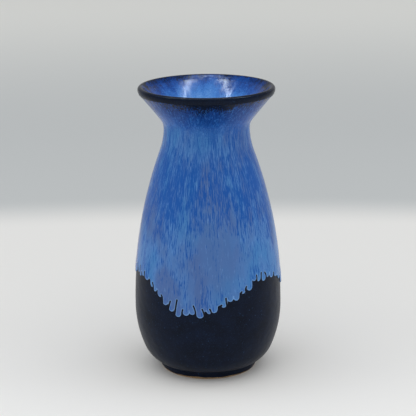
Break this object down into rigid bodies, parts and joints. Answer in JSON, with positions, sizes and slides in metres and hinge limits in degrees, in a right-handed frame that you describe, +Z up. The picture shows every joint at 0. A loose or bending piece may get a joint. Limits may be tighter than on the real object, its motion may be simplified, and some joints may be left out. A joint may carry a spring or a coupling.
{
  "type": "ceramic bud vase",
  "caption": "Small round stoneware flower vase with a full belly, a narrow neck, a flared mouth, a low foot ring and running glaze with a wavy lower edge.",
  "frame": {"origin": "centre of the foot ring's resting face", "axes": "+Z up along the axis of the vase, from the foot to the mouth; the front, where the running glaze hangs lowest, is -Y"},
  "size_m": [0.0846, 0.0847, 0.165],
  "materials": {
    "stoneware": "matt bare clay",
    "navy_satin_glaze": "satin",
    "blue_running_glaze": "gloss",
    "blue_lining_glaze": "gloss",
    "navy_recess_glaze": "satin"
  },
  "bodies": {
    "root": {"stoneware_body": "stoneware", "base_glaze": "navy_satin_glaze", "running_glaze": "blue_running_glaze", "lining_glaze": "blue_lining_glaze", "recess_glaze": "navy_recess_glaze"}
  },
  "joints": []
}
